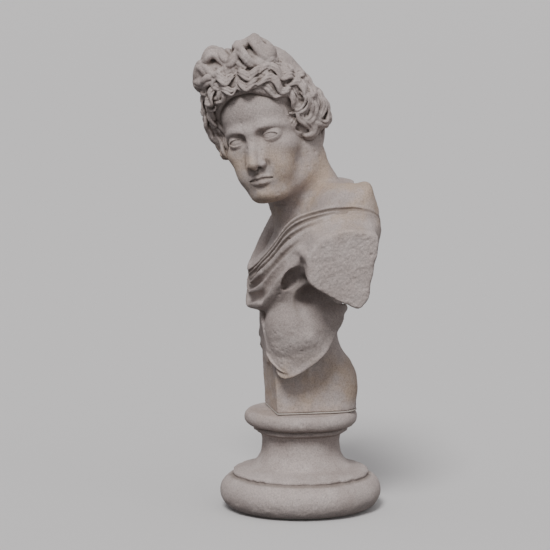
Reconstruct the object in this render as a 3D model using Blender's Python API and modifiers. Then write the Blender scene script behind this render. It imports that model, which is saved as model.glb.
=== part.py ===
"""Stone bust of a draped youth on a turned socle, with the rod, washers and nut that hold the two together.

Metres, +Z up. The origin is the centre of the resting face, on the socle's axis.
The chest faces -Y, the bust's own left shoulder is at +X, and the head turns towards that shoulder.
"""

from math import cos, pi, radians, sin

import bmesh
import bpy
from mathutils import Euler, Matrix, Vector

# Driving dimensions
GAP = 0.0003  # clearance between neighbouring pieces
FELT_RADIUS = 0.110
FELT_THICK = 0.003
SOCLE_RADIUS = 0.143  # widest point of the foot roll
SOCLE_TOP = 0.1760
FOOT_ROLL = 0.0295  # radius of the foot roll's section
STEP_RADIUS = 0.1215  # small ledge above the foot roll
THROAT_RADIUS = 0.0692  # waist of the scotia
FILLET_RADIUS = 0.0845
COLLAR_RADIUS = 0.1005
COLLAR_ROLL = 0.0150
ROD_RADIUS = 0.006  # M12 threaded rod
ROD_CLEARANCE = 0.001  # drilled hole in the socle, all round the rod
ROD_TAIL = 0.005  # rod end that shows below the nut
RECESS_RADIUS = 0.030
RECESS_TOP = 0.040
FIBRE_RADIUS = 0.025
FIBRE_THICK = 0.002
WASHER_RADIUS = 0.022
WASHER_THICK = 0.003
NUT_FLATS = 0.019  # M12 hexagon nut
NUT_HEIGHT = 0.010
BED_THICK = 0.003  # setting compound between bust and socle
FOOT_HALF_WIDTH = 0.0625
FOOT_FRONT = -0.053
FOOT_BACK = 0.096
COLUMN_EDGE = 0.010  # rounding of the column's upright edges
ROD_DEPTH = 0.115  # how far the rod stands in the bust
RESIN_WALL = 0.0026
SHOULDER_CUT = 0.205  # the left arm ends in a flat face this far from the axis
HOLLOW_PLACE = Vector((0.082, 0.100, 0.425))  # pockets in the back, beside the column
HOLLOW_RADII = Vector((0.040, 0.100, 0.090))
HEAD_POINT = Vector((0.004, -0.024, 0.556))  # under the ears, level with the chin
HEAD_YAW = radians(57)
HEAD_PITCH = radians(4)
HEAD_ROLL = radians(-13)
HEAD_HEIGHT = 0.240  # chin to crown, without the hair

SOCLE_BASE = FELT_THICK + GAP
BED_BASE = SOCLE_TOP + GAP
FOOT_BASE = BED_BASE + BED_THICK + GAP
ROD_TOP = FOOT_BASE + ROD_DEPTH
ROUND_STEPS = 44
VOXEL = 0.005  # grain of the carved mass
KEPT_SHARE = 0.09  # of the carved mass's faces
CUTTER_REACH = 0.5  # saws and drills run at least this far past what they cut

STONE = ("stone", (0.56, 0.51, 0.46), 0.9, 0.0)
STEEL = ("zinc_steel", (0.58, 0.60, 0.61), 0.35, 1.0)
FIBRE = ("red_fibre", (0.36, 0.12, 0.07), 0.8, 0.0)
MORTAR = ("setting_mortar", (0.62, 0.60, 0.56), 0.95, 0.0)
RESIN = ("anchor_resin", (0.45, 0.44, 0.40), 0.4, 0.0)
FELT = ("felt", (0.10, 0.13, 0.10), 1.0, 0.0)


def clear_scene():
    for obj in list(bpy.data.objects):
        bpy.data.objects.remove(obj)


def new_collection(name):
    made = bpy.data.collections.new(name)
    bpy.context.scene.collection.children.link(made)
    return made


def material(name, colour, roughness, metallic):
    found = bpy.data.materials.get(name)
    if found:
        return found
    made = bpy.data.materials.new(name)
    made.use_nodes = True
    shader = made.node_tree.nodes["Principled BSDF"]
    shader.inputs["Base Color"].default_value = (*colour, 1)
    shader.inputs["Roughness"].default_value = roughness
    shader.inputs["Metallic"].default_value = metallic
    return made


def object_of(name, mesh, collection, finish=None):
    obj = bpy.data.objects.new(name, mesh)
    collection.objects.link(obj)
    if finish:
        mesh.materials.append(material(*finish))
    return obj


def cutter(obj):
    obj.hide_render = True
    obj.display_type = "WIRE"
    return obj


def cut(target, tool):
    modifier = target.modifiers.new(tool.name, "BOOLEAN")
    modifier.operation = "DIFFERENCE"
    modifier.object = cutter(tool)


def smooth(mesh, sharp_over=radians(35)):
    mesh.shade_smooth()
    mesh.set_sharp_from_angle(angle=sharp_over)


def arc(centre, radius, start, end, steps):
    """Points on a circle in the turning plane, angles in degrees, as (radius, height) pairs."""
    turns = [radians(start + (end - start) * i / steps) for i in range(steps + 1)]
    return [(centre[0] + radius * cos(t), centre[1] + radius * sin(t)) for t in turns]


def turned(name, profile, collection, finish):
    """A ring turned about Z from a closed profile of (radius, height) points."""
    mesh = bpy.data.meshes.new(name)
    points = [(r, 0, z) for r, z in profile]
    mesh.from_pydata(points, [(i, (i + 1) % len(points)) for i in range(len(points))], [])
    obj = object_of(name, mesh, collection, finish)
    screw = obj.modifiers.new("turn", "SCREW")
    screw.steps = ROUND_STEPS
    screw.render_steps = ROUND_STEPS
    screw.use_merge_vertices = True
    screw.merge_threshold = 0.00001
    return obj


def cylinder(name, radius, base, top, collection, finish=None, sides=ROUND_STEPS):
    bm = bmesh.new()
    middle = Matrix.Translation((0, 0, (base + top) / 2))
    bmesh.ops.create_cone(bm, cap_ends=True, segments=sides, radius1=radius, radius2=radius,
                          depth=top - base, matrix=middle)
    mesh = bpy.data.meshes.new(name)
    bm.to_mesh(mesh)
    bm.free()
    smooth(mesh)
    return object_of(name, mesh, collection, finish)


def ring(name, outer, inner, base, top, collection, finish):
    """A flat washer or sleeve about Z."""
    profile = [(inner, top), (outer, top), (outer, base), (inner, base)]
    return turned(name, profile, collection, finish)


def curve_mesh(curve_obj):
    """The curve as a welded mesh, in place of the curve object."""
    graph = bpy.context.evaluated_depsgraph_get()
    mesh = bpy.data.meshes.new_from_object(curve_obj.evaluated_get(graph))
    bm = bmesh.new()
    bm.from_mesh(mesh)
    bmesh.ops.remove_doubles(bm, verts=bm.verts, dist=0.00001)
    bm.transform(curve_obj.matrix_world)
    bm.to_mesh(mesh)
    bm.free()
    bpy.data.objects.remove(curve_obj)
    return mesh


def flat_outline(name, outlines, half_thick, collection, rounding=0.0):
    """A closed outline, with any holes, as a 2D curve with thickness."""
    data = bpy.data.curves.new(name, "CURVE")
    data.dimensions = "2D"
    data.fill_mode = "BOTH"
    data.extrude = half_thick - rounding
    data.bevel_depth = rounding
    data.bevel_resolution = 3
    data.offset = -rounding
    for outline in outlines:
        spline = data.splines.new("POLY")
        spline.points.add(len(outline) - 1)
        for point, (x, y) in zip(spline.points, outline):
            point.co = (x, y, 0, 1)
        spline.use_cyclic_u = True
    obj = bpy.data.objects.new(name, data)
    collection.objects.link(obj)
    return obj


def foot_outline(inset=0.0):
    """Plan of the foot: a square tablet in front, a rounded column behind."""
    half = FOOT_HALF_WIDTH - inset
    depth = FOOT_BACK - inset
    back = [(half * cos(pi * i / 16), depth * sin(pi * i / 16)) for i in range(17)]
    return [*back, (-half, FOOT_FRONT + inset), (half, FOOT_FRONT + inset)]


def circle(radius, steps):
    return [(radius * cos(2 * pi * i / steps), radius * sin(2 * pi * i / steps)) for i in range(steps)]


def make_socle(collection):
    """Turned foot: big roll, fillet, hollow scotia, fillet and collar roll; drilled and counterbored."""
    foot_roll = arc((SOCLE_RADIUS - FOOT_ROLL, SOCLE_BASE + FOOT_ROLL - 0.001), FOOT_ROLL, 62, -75, 11)
    shoulder = [(0.0718, 0.100), (0.0765, 0.0905), (0.083, 0.0825), (0.0905, 0.0775), (0.103, 0.0745)]
    step = [(0.113, 0.0705), (STEP_RADIUS - 0.001, 0.0660), (STEP_RADIUS, 0.0625)]
    throat = [(0.0725, 0.1345), (0.0698, 0.127), (THROAT_RADIUS, 0.116)]
    fillet = [(0.0800, 0.1465), (FILLET_RADIUS, 0.1440), (FILLET_RADIUS, 0.1405), (0.0800, 0.1380)]
    collar = arc((COLLAR_RADIUS - COLLAR_ROLL, SOCLE_TOP - 0.0135), COLLAR_ROLL, 64, -85, 9)
    bore = ROD_RADIUS + ROD_CLEARANCE
    hollow = [(RECESS_RADIUS, SOCLE_BASE), (RECESS_RADIUS, RECESS_TOP), (bore, RECESS_TOP)]
    outside = [(bore, SOCLE_TOP), *collar, *fillet, *throat, *shoulder, *step, *foot_roll]
    return turned("socle", [*outside, *hollow], collection, STONE)


def make_setting_bed(collection):
    outlines = [foot_outline(inset=0.004), circle(ROD_RADIUS + 4 * GAP, 24)]
    obj = flat_outline("bed_outline", outlines, BED_THICK / 2, collection)
    obj.location.z = BED_BASE + BED_THICK / 2
    bpy.context.view_layer.update()
    return object_of("setting_bed", curve_mesh(obj), collection, MORTAR)


def make_fixings(collection):
    """Felt, rod, resin, fibre washer, plate washer and nut, all on the socle's axis."""
    cylinder("felt_disc", FELT_RADIUS, 0.0, FELT_THICK, collection, FELT)
    fibre_top = RECESS_TOP - GAP
    fibre_base = fibre_top - FIBRE_THICK
    washer_top = fibre_base - GAP
    washer_base = washer_top - WASHER_THICK
    nut_top = washer_base - GAP
    nut_base = nut_top - NUT_HEIGHT
    hole = ROD_RADIUS + 2 * GAP
    ring("fibre_washer", FIBRE_RADIUS, hole, fibre_base, fibre_top, collection, FIBRE)
    ring("plate_washer", WASHER_RADIUS, hole, washer_base, washer_top, collection, STEEL)
    make_nut(nut_base, nut_top, collection)
    rod = cylinder("threaded_rod", ROD_RADIUS, nut_base - ROD_TAIL, ROD_TOP, collection, STEEL, sides=32)
    chamfer = rod.modifiers.new("chamfer", "BEVEL")
    chamfer.width = 0.001
    chamfer.limit_method = "ANGLE"
    make_resin(collection)


def make_nut(base, top, collection):
    across_corners = NUT_FLATS / cos(pi / 6)
    nut = cylinder("hex_nut", across_corners / 2, base, top, collection, STEEL, sides=6)
    cut(nut, drill("nut_bore", ROD_RADIUS + GAP, base - ROD_TAIL, top + ROD_TAIL))


def drill(name, radius, base, top):
    return cylinder(name, radius, base, top, bpy.data.collections["cutters"], sides=32)


def make_resin(collection):
    """The set resin round the rod: a cup that is open at the bust's foot."""
    inner = ROD_RADIUS + GAP
    outer = inner + RESIN_WALL
    base = FOOT_BASE + GAP
    end = ROD_TOP + GAP
    resin = cylinder("anchor_resin", outer, base, end + RESIN_WALL, collection, RESIN, sides=32)
    cut(resin, drill("resin_core", inner, base - BED_THICK, end))


class Carving:
    """One bmesh that gathers overlapping masses. They become one body when they are remeshed."""

    def __init__(self, frame=None):
        self.bm = bmesh.new()
        self.frame = frame or Matrix.Identity(4)

    def ball(self, centre, radii, turn=(0, 0, 0)):
        placed = Matrix.LocRotScale(Vector(centre), Euler([radians(t) for t in turn]), Vector(radii))
        bmesh.ops.create_uvsphere(self.bm, u_segments=32, v_segments=20, radius=1,
                                  matrix=self.frame @ placed)

    def limb(self, start, end, start_radius, end_radius):
        """A cone with round ends."""
        start, end = Vector(start), Vector(end)
        along = end - start
        turn = along.to_track_quat("Z", "Y")
        placed = Matrix.LocRotScale((start + end) / 2, turn, None)
        bmesh.ops.create_cone(self.bm, cap_ends=True, segments=32, radius1=start_radius,
                              radius2=end_radius, depth=along.length, matrix=self.frame @ placed)
        self.ball(start, [start_radius] * 3)
        self.ball(end, [end_radius] * 3)

    def chain(self, points, radius):
        """A roll of cloth or hair through points, tapering at both ends."""
        last = len(points) - 1
        sizes = [radius * (0.65 if i in (0, last) else 1) for i in range(last + 1)]
        for i in range(last):
            self.limb(points[i], points[i + 1], sizes[i], sizes[i + 1])

    def mesh(self, mesh):
        self.bm.from_mesh(mesh)


def head_frame():
    """Turns and tilts the head, and scales its unit of length to HEAD_HEIGHT."""
    turned_head = Euler((0, 0, HEAD_YAW)).to_matrix() @ Euler((HEAD_PITCH, HEAD_ROLL, 0)).to_matrix()
    return Matrix.Translation(HEAD_POINT) @ turned_head.to_4x4() @ Matrix.Scale(HEAD_HEIGHT, 4)


def carve_head(carving):
    """Head in its own frame: face to -Y, chin at height 0, crown at height 1, in shares of HEAD_HEIGHT."""
    carving.ball((0, 0, 0.62), (0.325, 0.41, 0.38))
    carving.ball((0, -0.19, 0.36), (0.25, 0.24, 0.33))
    carving.ball((0, -0.31, 0.11), (0.13, 0.115, 0.105))
    carving.limb((0, -0.415, 0.49), (0, -0.47, 0.31), 0.035, 0.05)
    carving.limb((-0.045, -0.415, 0.175), (0.045, -0.415, 0.175), 0.035, 0.035)
    for side in (-1, 1):
        carving.limb((side * 0.23, -0.03, 0.24), (side * 0.06, -0.31, 0.09), 0.075, 0.075)
        carving.limb((side * 0.21, -0.31, 0.52), (side * 0.05, -0.39, 0.53), 0.05, 0.045)
        carving.ball((side * 0.32, 0.03, 0.40), (0.04, 0.07, 0.13), (8, 0, 0))


def carve_hair(carving):
    """Curls round the face, a double knot over the brow, and the cap and nape behind."""
    carving.ball((0, 0.045, 0.66), (0.375, 0.41, 0.385))
    hairline = [(0.0, -0.40, 0.85), (0.20, -0.345, 0.81), (0.325, -0.22, 0.67), (0.37, -0.06, 0.52),
                (0.35, 0.05, 0.38)]
    for side in (-1, 1):
        carving.chain([(side * x, y, z) for x, y, z in hairline], 0.085)
        carving.ball((side * 0.33, 0.13, 0.45), (0.09, 0.15, 0.16))
        carving.ball((side * 0.17, 0.28, 0.34), (0.13, 0.10, 0.16))
    carving.ball((0, 0.33, 0.33), (0.12, 0.09, 0.16))
    carving.ball((-0.185, -0.30, 1.00), (0.205, 0.15, 0.125), (0, 12, 0))
    carving.ball((0.175, -0.26, 1.045), (0.200, 0.15, 0.120), (0, -8, 0))
    carving.ball((0, -0.25, 0.97), (0.11, 0.11, 0.10))


def carve_body(carving):
    """Neck, rib cage, shoulders and the cloak that covers them."""
    carving.limb((0, 0.036, 0.500), (0.003, 0.000, 0.580), 0.061, 0.053)
    carving.limb((0.003, 0.000, 0.580), (0.010, -0.024, 0.650), 0.053, 0.053)
    carving.ball((0, 0.000, 0.395), (0.128, 0.082, 0.135))
    for side in (-1, 1):
        carving.limb((0, 0.045, 0.525), (side * 0.125, 0.045, 0.500), 0.058, 0.052)
        carving.ball((side * 0.056, -0.028, 0.415), (0.070, 0.052, 0.056))
        carving.ball((side * 0.074, -0.014, 0.335), (0.050, 0.055, 0.086))
        carving.ball((side * 0.085, 0.045, 0.400), (0.055, 0.050, 0.090))
    carve_cloak(carving)


def carve_cloak(carving):
    """The cloak hangs over the raised left arm, falls in a pouch on the chest and stands off the nape."""
    carving.limb((0.105, 0.040, 0.500), (0.230, 0.042, 0.452), 0.066, 0.060)
    carving.ball((0.185, 0.034, 0.430), (0.060, 0.052, 0.054))
    carving.ball((0.115, 0.070, 0.520), (0.070, 0.042, 0.056))
    carving.limb((-0.135, 0.038, 0.500), (-0.150, 0.032, 0.405), 0.058, 0.048)
    carving.ball((-0.105, 0.055, 0.500), (0.080, 0.055, 0.058))
    carving.ball((0.030, -0.052, 0.405), (0.074, 0.044, 0.044), (25, 0, 0))
    neck_roll = [(0.122, 0.027, 0.530), (0.087, -0.030, 0.508), (0.050, -0.046, 0.474),
                 (0.010, -0.062, 0.443), (-0.042, -0.074, 0.418), (-0.086, -0.064, 0.428),
                 (-0.116, -0.038, 0.462), (-0.138, 0.004, 0.520)]
    carving.chain(neck_roll, 0.013)
    carving.chain([(x * 1.05, y - 0.006, z - 0.030) for x, y, z in neck_roll], 0.017)
    nape_roll = [(0.130, 0.072, 0.555), (0.098, 0.091, 0.570), (0.060, 0.096, 0.560), (0.000, 0.100, 0.545),
                 (-0.060, 0.092, 0.543), (-0.110, 0.072, 0.545), (-0.138, 0.034, 0.538)]
    for drop in (0, 0.026, 0.050):
        carving.chain([(x, y - drop / 6, z - drop) for x, y, z in nape_roll], 0.013)


def column_outline():
    """Side view of the column that carries the bust, as (y, z): an S at the back, flat in front."""
    back = [(FOOT_BACK - 0.003, 0.170), (0.099, 0.215), (0.092, 0.250), (0.070, 0.285), (0.064, 0.315),
            (0.070, 0.360), (0.082, 0.430), (0.085, 0.500)]
    front = [(-0.020, 0.500), (-0.060, 0.320), (FOOT_FRONT, 0.224), (FOOT_FRONT, 0.170)]
    return [*back, *front]


def column_mesh(collection):
    outline = flat_outline("column_outline", [column_outline()], FOOT_HALF_WIDTH - 0.004, collection,
                           rounding=COLUMN_EDGE)
    outline.matrix_world = Matrix(((0, 0, 1, 0), (1, 0, 0, 0), (0, 1, 0, 0), (0, 0, 0, 1)))
    bpy.context.view_layer.update()
    return curve_mesh(outline)


def box_cutter(name, low, high, turn=(0, 0, 0)):
    bm = bmesh.new()
    low, high = Vector(low), Vector(high)
    placed = Matrix.LocRotScale((low + high) / 2, Euler([radians(t) for t in turn]), high - low)
    bmesh.ops.create_cube(bm, size=1, matrix=placed)
    mesh = bpy.data.meshes.new(name)
    bm.to_mesh(mesh)
    bm.free()
    return object_of(name, mesh, bpy.data.collections["cutters"])


def hollow_cutter(name, side):
    """Rounded pocket in the back, on one side of the column."""
    bm = bmesh.new()
    centre = HOLLOW_PLACE * Vector((side, 1, 1))
    placed = Matrix.LocRotScale(centre, Euler((radians(8), 0, 0)), HOLLOW_RADII)
    bmesh.ops.create_uvsphere(bm, u_segments=20, v_segments=12, radius=1, matrix=placed)
    mesh = bpy.data.meshes.new(name)
    bm.to_mesh(mesh)
    bm.free()
    return object_of(name, mesh, bpy.data.collections["cutters"])


def make_bust(collection):
    """Head, neck, draped shoulders and column, carved as one block; then sawn, hollowed and drilled."""
    carving = Carving()
    carve_body(carving)
    carving.mesh(column_mesh(collection))
    carving.frame = head_frame()
    carve_head(carving)
    carve_hair(carving)
    mesh = bpy.data.meshes.new("bust")
    carving.bm.to_mesh(mesh)
    carving.bm.free()
    bust = object_of("bust", mesh, collection, STONE)
    fuse = bust.modifiers.new("fuse", "REMESH")
    fuse.mode = "VOXEL"
    fuse.voxel_size = VOXEL
    thin = bust.modifiers.new("thin", "DECIMATE")
    thin.ratio = KEPT_SHARE
    far = CUTTER_REACH
    cut(bust, box_cutter("foot_saw", (-far, -far, FOOT_BASE - far), (far, far, FOOT_BASE)))
    cut(bust, box_cutter("left_arm_saw", (SHOULDER_CUT, -far, 0.2), (SHOULDER_CUT + far, far, 0.9)))
    cut(bust, box_cutter("right_arm_saw", (-far, -far, 0.2), (-0.11, far, 0.415), (0, 18, 0)))
    cut(bust, hollow_cutter("right_hollow", -1))
    cut(bust, hollow_cutter("left_hollow", 1))
    hole = ROD_RADIUS + RESIN_WALL + 2 * GAP
    cut(bust, drill("rod_drill", hole, SOCLE_TOP, ROD_TOP + RESIN_WALL + 2 * GAP))


def main():
    clear_scene()
    pieces = new_collection("stone_bust")
    new_collection("cutters")
    make_fixings(pieces)
    smooth(make_socle(pieces).data)
    make_setting_bed(pieces)
    make_bust(pieces)


main()
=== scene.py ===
"""Looks of the stone bust: the carved head, hair, cloak and torso, the turned socle and the fixings.

Metres, +Z up. The chest faces -Y and the bust's own left shoulder is at +X.
Each carved piece is modelled like clay, on a grid of distances, and then skinned with a mesh.
"""

from math import cos, pi, radians, sin

import bmesh
import bpy
import numpy as np
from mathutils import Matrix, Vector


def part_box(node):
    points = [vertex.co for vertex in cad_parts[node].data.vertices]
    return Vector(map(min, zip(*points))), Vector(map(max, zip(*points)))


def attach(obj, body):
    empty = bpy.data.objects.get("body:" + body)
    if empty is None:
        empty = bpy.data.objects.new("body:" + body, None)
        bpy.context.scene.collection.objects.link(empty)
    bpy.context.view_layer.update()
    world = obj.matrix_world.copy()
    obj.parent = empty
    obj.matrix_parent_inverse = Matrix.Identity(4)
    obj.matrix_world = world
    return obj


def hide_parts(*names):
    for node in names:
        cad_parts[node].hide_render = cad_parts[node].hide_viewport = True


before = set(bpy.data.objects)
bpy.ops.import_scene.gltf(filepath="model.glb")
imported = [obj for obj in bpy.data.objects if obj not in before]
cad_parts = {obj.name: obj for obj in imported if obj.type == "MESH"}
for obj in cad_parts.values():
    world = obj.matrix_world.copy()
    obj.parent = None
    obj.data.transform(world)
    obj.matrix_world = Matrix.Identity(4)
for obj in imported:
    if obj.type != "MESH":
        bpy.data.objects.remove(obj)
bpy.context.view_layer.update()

import openvdb
from mathutils import Euler, Matrix, Vector

BUST_LOW, BUST_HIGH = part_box("bust")
SOCLE_LOW, SOCLE_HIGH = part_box("socle")

HEAD_POINT = Vector((0.004, -0.024, 0.556))  # under the ears, level with the chin
HEAD_TURN = (radians(4), radians(-13), radians(57))  # pitch, roll and yaw
FAR = 0.05  # distance that stands for "nothing near"
SIDES = (-1, 1)
HEAD_STEP, HAIR_STEP, BODY_STEP, MORTAR_STEP = 0.0011, 0.0012, 0.0016, 0.0011  # spacing of the clay grids
MARGIN = 3  # grid steps that are worked out round each shape
SETTLE_STEPS = 8
HASH = (73856093, 19349663, 83492791, 2654435761)  # large numbers that scatter the cells of the noise


# ---- clay

def array(values):
    return np.array(values, dtype=np.float64)


class Place:
    """A turn and a shift, from a piece's own frame to the object's."""

    def __init__(self, matrix=None):
        matrix = array(matrix) if matrix is not None else np.eye(4)
        self.turn = matrix[:3, :3]
        self.shift = matrix[:3, 3]

    def __call__(self, points):
        return array(points) @ self.turn.T + self.shift

    def back(self, points):
        return (array(points) - self.shift) @ self.turn


def head_place():
    pitch, roll, yaw = HEAD_TURN
    turned = Euler((0, 0, yaw)).to_matrix() @ Euler((pitch, roll, 0)).to_matrix()
    return Place(Matrix.Translation(HEAD_POINT) @ turned.to_4x4())


HERE = Place()
HEAD = head_place()


def segment_distance(x, y, z, start, end, start_radius, end_radius):
    """Distance to a round cone, as a rod whose radius changes evenly along it."""
    ax, ay, az = (float(v) for v in start)
    dx, dy, dz = (float(v) for v in end - start)
    length2 = max(dx * dx + dy * dy + dz * dz, 1e-12)
    along = np.clip(((x - ax) * dx + (y - ay) * dy + (z - az) * dz) / length2, 0, 1)
    radius = start_radius + (end_radius - start_radius) * along
    return np.sqrt((x - ax - along * dx) ** 2 + (y - ay - along * dy) ** 2
                   + (z - az - along * dz) ** 2) - radius


def smaller(a, b, blend):
    """Union of two distances. Their join is rounded over the blend length."""
    if blend <= 0:
        return np.minimum(a, b)
    near = np.maximum(blend - np.abs(a - b), 0) / blend
    return np.minimum(a, b) - near * near * blend / 4


class Clay:
    """A block of clay as distances on a grid: below 0 inside, above 0 outside."""

    def __init__(self, low, high, step, place=HERE):
        self.step = step
        self.low = array(low)
        self.place = place
        counts = np.ceil((array(high) - self.low) / step).astype(int) + 1
        self.field = np.full(counts, FAR, np.float32)

    def window(self, low, high):
        first = np.clip(np.floor((low - self.low) / self.step).astype(int), 0, self.field.shape)
        last = np.clip(np.ceil((high - self.low) / self.step).astype(int) + 1, 0, self.field.shape)
        axes = [(self.low[i] + self.step * np.arange(first[i], last[i])).astype(np.float32) for i in range(3)]
        slices = tuple(slice(a, b) for a, b in zip(first, last))
        return slices, np.meshgrid(*axes, indexing="ij", sparse=True)

    def put(self, slices, part, blend, hollow):
        """Adds a shape to the clay, or takes it away when it is hollow."""
        sign = -1 if hollow else 1
        self.field[slices] = sign * smaller(sign * self.field[slices], part, blend)

    def ball(self, centre, radii, turn=(0, 0, 0), blend=0.01, hollow=False):
        """Ellipsoid. The turn is in degrees, in the piece's own frame."""
        radii = array(radii) if np.ndim(radii) else np.full(3, float(radii))
        own = array(Euler([radians(t) for t in turn]).to_matrix())
        turned = self.place.turn @ own
        middle = self.place(centre)
        reach = np.sqrt((turned ** 2) @ (radii ** 2)) + blend + MARGIN * self.step
        slices, (x, y, z) = self.window(middle - reach, middle + reach)
        x, y, z = x - middle[0], y - middle[1], z - middle[2]
        local = [(x * turned[0, i] + y * turned[1, i] + z * turned[2, i]) / radii[i] for i in range(3)]
        size = np.sqrt(local[0] ** 2 + local[1] ** 2 + local[2] ** 2)
        slope = np.sqrt(sum((local[i] / radii[i]) ** 2 for i in range(3))) + 1e-9
        self.put(slices, (size * (size - 1) / slope).astype(np.float32), blend, hollow)

    def rod(self, points, radii, blend=0.001, hollow=False):
        """A strand through points, with a radius at each. It joins the clay as one shape."""
        points = self.place(points)
        radii = np.broadcast_to(array(radii), (len(points),))
        reach = radii.max() + blend + MARGIN * self.step
        slices, (x, y, z) = self.window(points.min(0) - reach, points.max(0) + reach)
        part = np.full((x.size, y.size, z.size), FAR, np.float32)
        for i in range(len(points) - 1):
            low = np.minimum(points[i], points[i + 1]) - reach
            high = np.maximum(points[i], points[i + 1]) + reach
            spot, (x, y, z) = self.window(low, high)
            spot = tuple(slice(s.start - w.start, s.stop - w.start) for s, w in zip(spot, slices))
            near = segment_distance(x, y, z, points[i], points[i + 1], radii[i], radii[i + 1])
            part[spot] = np.minimum(part[spot], near)
        self.put(slices, part, blend, hollow)

    def everywhere(self, distance, blend=0.0, hollow=False, low=None, high=None):
        """A shape given by a function of x, y and z in the piece's own frame, within a box there."""
        if low is None:
            corners = array([self.low, self.low + self.step * (array(self.field.shape) - 1)])
        else:
            box = array([[(low, high)[(k >> i) & 1][i] for i in range(3)] for k in range(8)])
            corners = self.place(box)
        slices, (x, y, z) = self.window(corners.min(0), corners.max(0))
        turn, shift = self.place.turn.astype(np.float32), self.place.shift.astype(np.float32)
        x, y, z = x - shift[0], y - shift[1], z - shift[2]
        own = [x * turn[0, i] + y * turn[1, i] + z * turn[2, i] for i in range(3)]
        part = distance(*own).astype(np.float32)
        self.put(slices, np.broadcast_to(part, self.field[slices].shape), blend, hollow)

    def value(self, points, field=None):
        """The distance at each point, read between the grid's points."""
        field = self.field if field is None else field
        at = np.clip((points - self.low) / self.step, 0, array(self.field.shape) - 1.001)
        cell = at.astype(int)
        part = at - cell
        total = np.zeros(len(points))
        for corner in range(8):
            step = [(corner >> i) & 1 for i in range(3)]
            weight = np.prod([part[:, i] if step[i] else 1 - part[:, i] for i in range(3)], axis=0)
            total += weight * field[cell[:, 0] + step[0], cell[:, 1] + step[1], cell[:, 2] + step[2]]
        outside = np.any((points < self.low) | (points > self.low + self.step
                                                * (array(self.field.shape) - 1)), 1)
        return np.where(outside, FAR, total)

    def skin(self, name):
        """The clay's surface as a smooth mesh object."""
        depth = MARGIN * self.step
        grid = openvdb.FloatGrid(depth)
        grid.copyFromArray(np.clip(self.field, -depth, depth))
        points, quads = grid.convertToQuads(isovalue=0.0)
        points = points.astype(np.float64) * self.step + self.low
        corner = points[quads]
        spread = np.cross(corner[:, 2] - corner[:, 0], corner[:, 3] - corner[:, 1])
        if np.einsum("ij,ij->", corner.mean(1) - points.mean(0), spread) < 0:
            quads = quads[:, ::-1]
        mesh = bpy.data.meshes.new(name)
        mesh.vertices.add(len(points))
        mesh.vertices.foreach_set("co", points.astype(np.float32).ravel())
        mesh.loops.add(quads.size)
        mesh.loops.foreach_set("vertex_index", quads.ravel().astype(np.int32))
        mesh.polygons.add(len(quads))
        mesh.polygons.foreach_set("loop_start", np.arange(0, quads.size, 4, dtype=np.int32))
        mesh.update(calc_edges=True)
        mesh.validate()
        mesh.shade_smooth()
        piece = bpy.data.objects.new(name, mesh)
        bpy.context.scene.collection.objects.link(piece)
        return piece


def co_of(mesh):
    co = np.zeros(len(mesh.vertices) * 3, np.float32)
    mesh.vertices.foreach_get("co", co)
    return co.reshape(-1, 3).astype(np.float64)


def normals_of(mesh):
    normals = np.zeros(len(mesh.vertices) * 3, np.float32)
    mesh.vertex_normals.foreach_get("vector", normals)
    return normals.reshape(-1, 3).astype(np.float64)


def hashed(cells, seed):
    """A number from -1 to 1 for each grid cell, the same at every run."""
    mixed = (cells[:, 0] * HASH[0]) ^ (cells[:, 1] * HASH[1]) ^ (cells[:, 2] * HASH[2]) ^ (seed * HASH[3])
    mixed = (mixed ^ (mixed >> 13)) * 1274126177 & 0x7FFFFFFF
    mixed = (mixed ^ (mixed >> 15)) * 668265263 & 0x7FFFFFFF
    return (mixed ^ (mixed >> 16)) % 65536 / 32768 - 1


def noise(points, size, seed):
    """Smooth random values from -1 to 1 that change over the given length."""
    at = points / size
    cell = np.floor(at).astype(np.int64)
    part = at - cell
    part = part * part * (3 - 2 * part)
    total = np.zeros(len(points))
    for corner in range(8):
        step = array([(corner >> i) & 1 for i in range(3)]).astype(np.int64)
        weight = np.prod(np.where(step, part, 1 - part), axis=1)
        total += weight * hashed(cell + step, seed)
    return total


def spline(points, count):
    """Evenly numbered points on a smooth curve through the given ones."""
    points = array(points)
    padded = np.vstack([2 * points[0] - points[1], points, 2 * points[-1] - points[-2]])
    at = np.linspace(0, len(points) - 1 - 1e-9, count)
    first = at.astype(int)
    t = (at - first)[:, None]
    a, b, c, d = (padded[first + i] for i in range(4))
    return 0.5 * (2 * b + (c - a) * t + (2 * a - 5 * b + 4 * c - d) * t * t + (3 * b - a - 3 * c + d)
                  * t ** 3)


def settle(clay, bed, points, rays, lift):
    """The points moved along rays to the surface of the clay as it was when the bed was kept, plus a lift."""
    points, rays = array(points), array(rays)
    rays = rays / np.linalg.norm(rays, axis=1, keepdims=True)
    for _ in range(SETTLE_STEPS):
        points = points - rays * clay.value(points, bed)[:, None]
    return points + rays * np.reshape(lift, (-1, 1))


def mirrored(points, side):
    return array(points) * (side, 1, 1)


# ---- head and face

EYE = array((0.0315, -0.0815, 0.1105))  # centre of the left eyeball, in the head's frame
EYE_RADII = array((0.016, 0.0128, 0.0128))
EYE_HALF_WIDTH = 0.014
LID_THICK = 0.002


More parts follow.
